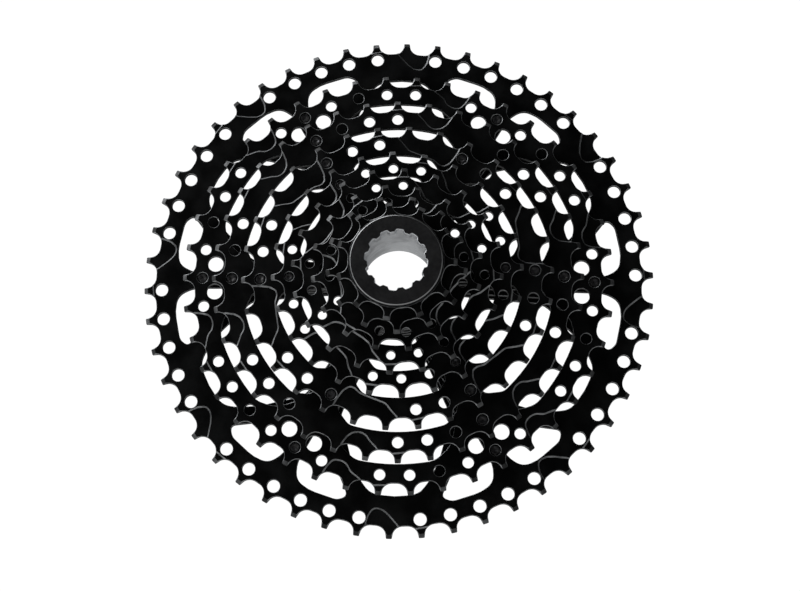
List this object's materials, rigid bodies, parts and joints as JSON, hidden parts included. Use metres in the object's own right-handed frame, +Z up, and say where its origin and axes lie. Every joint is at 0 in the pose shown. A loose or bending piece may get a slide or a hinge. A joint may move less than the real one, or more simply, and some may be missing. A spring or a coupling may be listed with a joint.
{
  "type": "cassette sprocket",
  "caption": "Wide-range bicycle cassette: stacked toothed steel sprockets with lightening holes, spacers, rivets, a splined sleeve and a lockring.",
  "frame": {"origin": "on the bore axis, in the inboard face of the largest sprocket", "axes": "+Y along the bore axis towards the wheel, so the small sprockets and the lockring face -Y; +Z up; +X to the right as seen from the lockring side"},
  "size_m": [0.204, 0.0425, 0.204],
  "materials": {
    "black_steel": "satin",
    "black_alloy": "satin",
    "spacer_plastic": "matt",
    "rivet_steel": "satin",
    "bare_alloy": "brushed",
    "washer_steel": "satin",
    "black_lockring": "satin"
  },
  "bodies": {
    "sleeve": {"freehub_sleeve": "bare_alloy"},
    "cluster": {"sprocket_50t": "black_steel", "sprocket_42t": "black_steel", "sprocket_36t": "black_steel", "sprocket_30t": "black_steel", "sprocket_24t": "black_steel", "spacer_50t_42t": "black_alloy", "spacer_42t_36t": "black_alloy", "spacer_36t_30t": "black_alloy", "spacer_30t_24t": "black_alloy", "rivet_42t_1": "rivet_steel", "rivet_42t_2": "rivet_steel", "rivet_42t_3": "rivet_steel", "rivet_42t_4": "rivet_steel", "rivet_42t_5": "rivet_steel", "rivet_42t_6": "rivet_steel", "rivet_36t_1": "rivet_steel", "rivet_36t_2": "rivet_steel", "rivet_36t_3": "rivet_steel", "rivet_36t_4": "rivet_steel", "rivet_30t_1": "rivet_steel", "rivet_30t_2": "rivet_steel", "rivet_30t_3": "rivet_steel", "rivet_30t_4": "rivet_steel", "rivet_30t_5": "rivet_steel", "rivet_30t_6": "rivet_steel", "rivet_24t_1": "rivet_steel", "rivet_24t_2": "rivet_steel", "rivet_24t_3": "rivet_steel", "rivet_24t_4": "rivet_steel"},
    "spacer_24t_20t": {"spacer_24t_20t": "spacer_plastic"},
    "sprocket_20t": {"sprocket_20t": "black_steel"},
    "spacer_20t_16t": {"spacer_20t_16t": "spacer_plastic"},
    "sprocket_16t": {"sprocket_16t": "black_steel"},
    "sprocket_13t": {"sprocket_13t": "black_steel"},
    "sprocket_11t": {"sprocket_11t": "black_steel"},
    "washer": {"lockring_washer": "washer_steel"},
    "lockring": {"lockring": "black_lockring"}
  },
  "joints": [
    {"name": "cluster_slide", "type": "slide", "parent": "sleeve", "child": "cluster", "axis": [0, -1, 0], "range_m": [0, 0.036]},
    {"name": "spacer_24t_20t_slide", "type": "slide", "parent": "cluster", "child": "spacer_24t_20t", "axis": [0, -1, 0], "range_m": [0, 0.016]},
    {"name": "sprocket_20t_slide", "type": "slide", "parent": "spacer_24t_20t", "child": "sprocket_20t", "axis": [0, -1, 0], "range_m": [0, 0.0135]},
    {"name": "spacer_20t_16t_slide", "type": "slide", "parent": "sprocket_20t", "child": "spacer_20t_16t", "axis": [0, -1, 0], "range_m": [0, 0.0115]},
    {"name": "sprocket_16t_slide", "type": "slide", "parent": "spacer_20t_16t", "child": "sprocket_16t", "axis": [0, -1, 0], "range_m": [0, 0.009]},
    {"name": "sprocket_13t_slide", "type": "slide", "parent": "sprocket_16t", "child": "sprocket_13t", "axis": [0, -1, 0], "range_m": [0, 0.0072]},
    {"name": "sprocket_11t_slide", "type": "slide", "parent": "sprocket_13t", "child": "sprocket_11t", "axis": [0, -1, 0], "range_m": [0, 0.003]},
    {"name": "washer_slide", "type": "slide", "parent": "sprocket_11t", "child": "washer", "axis": [0, -1, 0], "range_m": [0, 0.0055]},
    {"name": "lockring_turn", "type": "hinge", "parent": "washer", "child": "lockring", "pos_m": [0, -0.037, 0], "axis": [0, -1, 0], "range_deg": [0, 1981]}
  ],
  "couplings": [
    {"joint": "lockring_turn", "follows": "washer_slide", "rad_per_m": 6283.2}
  ]
}
